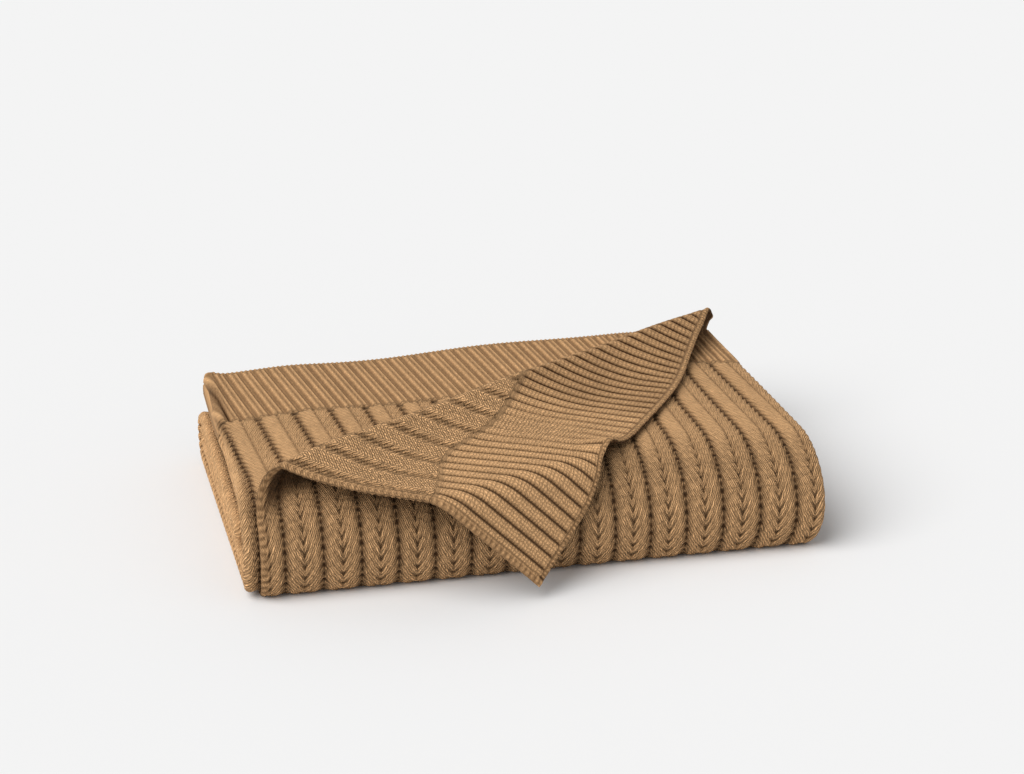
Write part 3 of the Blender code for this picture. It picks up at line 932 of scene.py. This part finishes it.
class Shader:
    """Small helper that adds nodes to a material and links them."""

    def __init__(self, name):
        self.material = bpy.data.materials.new(name)
        self.material.use_nodes = True
        self.tree = self.material.node_tree
        self.surface = self.tree.nodes["Principled BSDF"]

    def put(self, socket, value):
        """Link a socket, or set it to a plain value."""
        if isinstance(value, bpy.types.NodeSocket):
            self.tree.links.new(value, socket)
        elif value is not None:
            socket.default_value = value

    def math(self, operation, first, second=None, third=None):
        """Math node on sockets or numbers."""
        node = self.tree.nodes.new("ShaderNodeMath")
        node.operation = operation
        for socket, value in zip(node.inputs, (first, second, third)):
            self.put(socket, value)
        return node.outputs[0]

    def wave(self, phase):
        """0 to 1 and back once for each whole step of the phase."""
        angle = self.math("MULTIPLY", phase, 2 * math.pi)
        return self.math("MULTIPLY_ADD", self.math("COSINE", angle), 0.5, 0.5)

    def colour(self, share, first, second, blend_type="MIX"):
        """Mix of two colours."""
        node = self.tree.nodes.new("ShaderNodeMix")
        node.data_type = "RGBA"
        node.blend_type = blend_type
        self.put(node.inputs["Factor"], share)
        self.put(node.inputs[6], first)
        self.put(node.inputs[7], second)
        return node.outputs[2]

    def noise(self, vector, scale, detail):
        """Noise on a vector."""
        node = self.tree.nodes.new("ShaderNodeTexNoise")
        node.inputs["Scale"].default_value = scale
        node.inputs["Detail"].default_value = detail
        self.put(node.inputs["Vector"], vector)
        return node.outputs["Fac"]


def yarn_material(name, reverse):
    """Tan yarn: plied strands that follow the stitches, flecked, with painted shade between the
    strands and, by the painted-shade attribute, in the knit's gaps, grooves and folds.
    """
    shader = Shader(name)
    nodes = shader.tree.nodes
    place = nodes.new("ShaderNodeUVMap")
    place.uv_map = "cloth"
    painted_shade = nodes.new("ShaderNodeAttribute")
    painted_shade.attribute_name = "painted_shade"
    knit = nodes.new("ShaderNodeAttribute")
    knit.attribute_name = "strands"
    split = nodes.new("ShaderNodeSeparateXYZ")
    shader.put(split.inputs[0], knit.outputs["Vector"])
    strand, stitch, strength = split.outputs
    wobble = shader.noise(place.outputs[0], 230.0, 1.0)
    strand = shader.math("MULTIPLY_ADD", wobble, 1.1, strand)
    wobble = shader.noise(place.outputs[0], 170.0, 1.0)
    stitch = shader.math("MULTIPLY_ADD", wobble, 1.3, stitch)
    offset = shader.math("MULTIPLY", shader.math("FLOOR", strand), 0.5)
    staggered = stitch if reverse else shader.math("ADD", stitch, offset)
    across_strand = shader.wave(shader.math("ADD", strand, 0.5))
    along_strand = shader.wave(staggered)
    if reverse:
        yarn = shader.math("SQRT", shader.math("MULTIPLY", across_strand, along_strand))
    else:
        stitches = shader.math("MULTIPLY_ADD", along_strand, 0.75, 0.30)
        yarn = shader.math("MULTIPLY", across_strand, stitches)
    cell = nodes.new("ShaderNodeCombineXYZ")
    shader.put(cell.inputs[0], strand)
    shader.put(cell.inputs[1], shader.math("MULTIPLY", stitch, 0.8))
    flecks = shader.noise(cell.outputs[0], 1.1, 2.0)
    flecks = shader.math("MULTIPLY_ADD", flecks, 2.4, -1.2)
    flecks = shader.math("MULTIPLY", flecks, strength)
    fuzz = shader.noise(place.outputs[0], 1400.0, 2.0)
    height = shader.math("MULTIPLY", shader.math("MULTIPLY_ADD", fuzz, 0.35, yarn), strength)
    height = shader.math("MULTIPLY_ADD", flecks, 0.30, height)
    bump = nodes.new("ShaderNodeBump")
    bump.inputs["Strength"].default_value = 1.0
    bump.inputs["Distance"].default_value = 0.0013
    shader.put(bump.inputs["Height"], height)
    shader.put(shader.surface.inputs["Normal"], bump.outputs[0])
    patches = shader.noise(place.outputs[0], 45.0, 3.0)
    # painted shade: the colour darkens between strands and between stitches, where the yarn's
    # grooves would be in shade; the flecks and patches are the yarn's own tone
    swing = shader.math("SUBTRACT", yarn, 0.34 if reverse else 0.30)
    tone = shader.math("MULTIPLY_ADD", swing, strength, 1.0)
    tone = shader.math("MULTIPLY", tone, shader.math("MULTIPLY_ADD", flecks, 0.62, 1.0))
    tone = shader.math("MULTIPLY", tone, shader.math("MULTIPLY_ADD", patches, 0.36, 0.82))
    lit = shader.colour(1.0, YARN_COLOUR, tone, "MULTIPLY")
    # painted shade: the yarn's colour is mixed towards the dark shade colour by the
    # painted-shade attribute
    shaded = shader.colour(painted_shade.outputs["Fac"], lit, PAINTED_SHADE_COLOUR)
    shader.put(shader.surface.inputs["Base Color"], shaded)
    shader.surface.inputs["Roughness"].default_value = 0.95
    shader.surface.inputs["Specular IOR Level"].default_value = 0.10
    shader.surface.inputs["Sheen Weight"].default_value = 0.08
    shader.surface.inputs["Sheen Roughness"].default_value = 0.5
    shader.surface.inputs["Sheen Tint"].default_value = (1.0, 0.72, 0.45, 1.0)
    return shader.material


def floor():
    """Plain pale floor, wide enough to fill the picture."""
    bpy.ops.mesh.primitive_plane_add(size=FLOOR_SIZE)
    ground = bpy.context.object
    ground.name = "pale_floor"
    shader = Shader("pale_floor")
    shader.surface.inputs["Base Color"].default_value = FLOOR_COLOUR
    shader.surface.inputs["Roughness"].default_value = 0.95
    shader.surface.inputs["Specular IOR Level"].default_value = 0.0
    ground.data.materials.append(shader.material)


def lights():
    """Soft key light from the upper left and a little to the front, in an even pale room."""
    world = bpy.data.worlds.new("pale_room")
    world.use_nodes = True
    background = world.node_tree.nodes["Background"]
    background.inputs["Color"].default_value = (1.0, 1.0, 1.0, 1.0)
    background.inputs["Strength"].default_value = ROOM_STRENGTH
    bpy.context.scene.world = world
    key = bpy.data.lights.new("key", "SUN")
    key.energy = KEY_STRENGTH
    key.angle = KEY_SOFTNESS
    item = bpy.data.objects.new("key", key)
    item.rotation_euler = Vector(KEY_FROM).to_track_quat("Z", "Y").to_euler()
    bpy.context.scene.collection.objects.link(item)


def camera():
    """Camera at the picture's viewing angle."""
    lens = bpy.data.cameras.new("camera")
    lens.sensor_width = SENSOR
    lens.lens = FOCAL_PIXELS * SENSOR / PICTURE_WIDTH
    item = bpy.data.objects.new("camera", lens)
    away = Vector((
        math.sin(AZIMUTH) * math.cos(ELEVATION),
        -math.cos(AZIMUTH) * math.cos(ELEVATION),
        math.sin(ELEVATION),
    ))
    item.location = TARGET + away * DISTANCE
    item.rotation_euler = away.to_track_quat("Z", "Y").to_euler()
    bpy.context.scene.collection.objects.link(item)
    bpy.context.scene.camera = item


def flat_size(name, area):
    """Width and length of a piece on the flat cloth, and its area. A piece of several
    strips that lie apart gets the width that its area has over its length."""
    grids = [dict(zip(GRID_COLUMNS, row)) for row in PIECES[name]]
    width = max(grid["u_to"] for grid in grids) - min(grid["u_from"] for grid in grids)
    length = max(grid["v_to"] for grid in grids) - min(grid["v_from"] for grid in grids)
    if area < 0.3 * width * length:
        return (area / length, length), None
    return (width, length), min(area, width * length)


def main():
    """Build the cloth, the floor, the lights and the camera."""
    camera()
    floor()
    lights()
    materials = (yarn_material("yarn_face", False), yarn_material("yarn_reverse", True))
    for name in PIECES:
        piece, area = cloth_piece(name, materials)
        if name == "throw_inside":
            shell = piece.modifiers.new("thickness", "SOLIDIFY")
            shell.thickness = INSIDE_THICKNESS
            shell.offset = 0.0
        flat, cut_area = flat_size(name, area)
        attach(piece, "root")
        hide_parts("throw")


main()
bpy.context.scene.view_settings.view_transform = "Standard"
